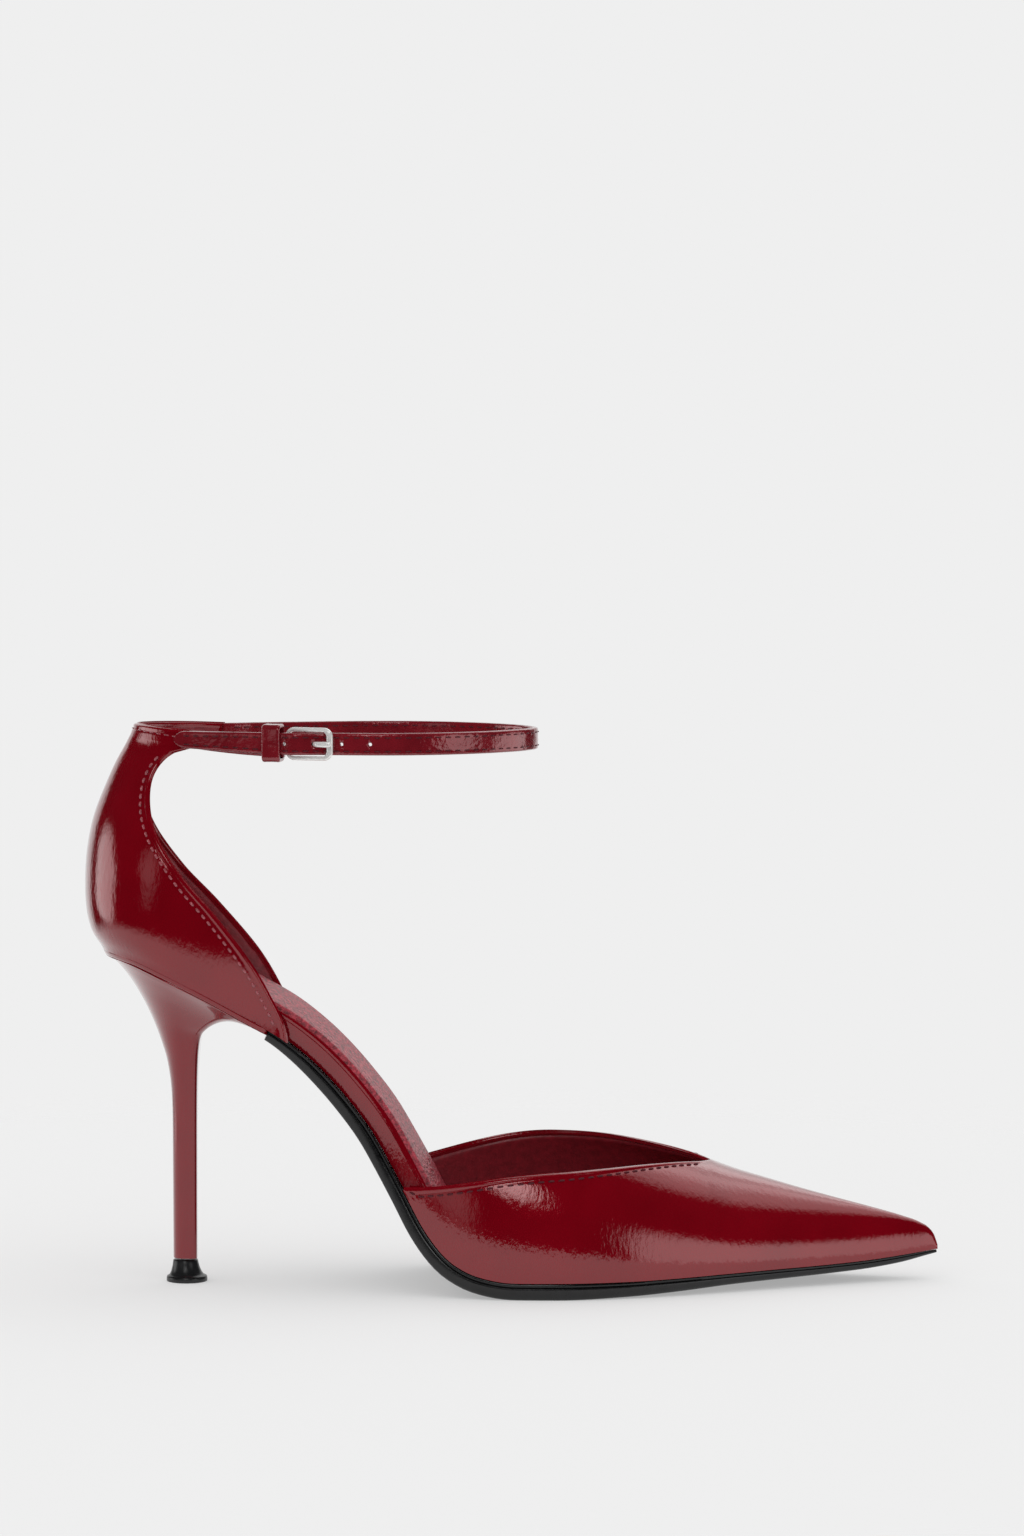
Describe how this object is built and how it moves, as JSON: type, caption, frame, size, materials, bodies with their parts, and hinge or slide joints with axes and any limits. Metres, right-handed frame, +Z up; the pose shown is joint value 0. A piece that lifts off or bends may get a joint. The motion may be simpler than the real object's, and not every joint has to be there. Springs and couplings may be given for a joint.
{
  "type": "ankle strap pump",
  "caption": "Pointed stiletto pump for the right foot, with a closed toe and heel, open sides and a buckled ankle strap.",
  "frame": {"origin": "centre of the heel tip's base, on the floor", "axes": "+X along the shoe to the toe, +Y to the medial side of the foot, +Z up; the buckle is on the -Y side"},
  "size_m": [0.244, 0.0764, 0.1613],
  "materials": {
    "patent_leather": "burgundy patent, glossy coat over a fine grain",
    "heel_cover": "burgundy patent cover, glossy",
    "wrapped_insole": "burgundy patent wrap",
    "sock_lining": "matt red with a fine grain",
    "black_sole": "black, satin, with a fine step at its edge",
    "black_top_piece": "black, satin",
    "silver_metal": "polished silver"
  },
  "bodies": {
    "root": {"outsole": "black_sole", "heel": "heel_cover", "heel_tip": "black_top_piece", "insole": "wrapped_insole", "sock": "sock_lining", "vamp": "patent_leather", "counter": "patent_leather", "ankle_strap": "patent_leather", "buckle_strap": "patent_leather", "keeper": "patent_leather", "buckle_frame": "silver_metal", "buckle_prong": "silver_metal"}
  },
  "joints": []
}
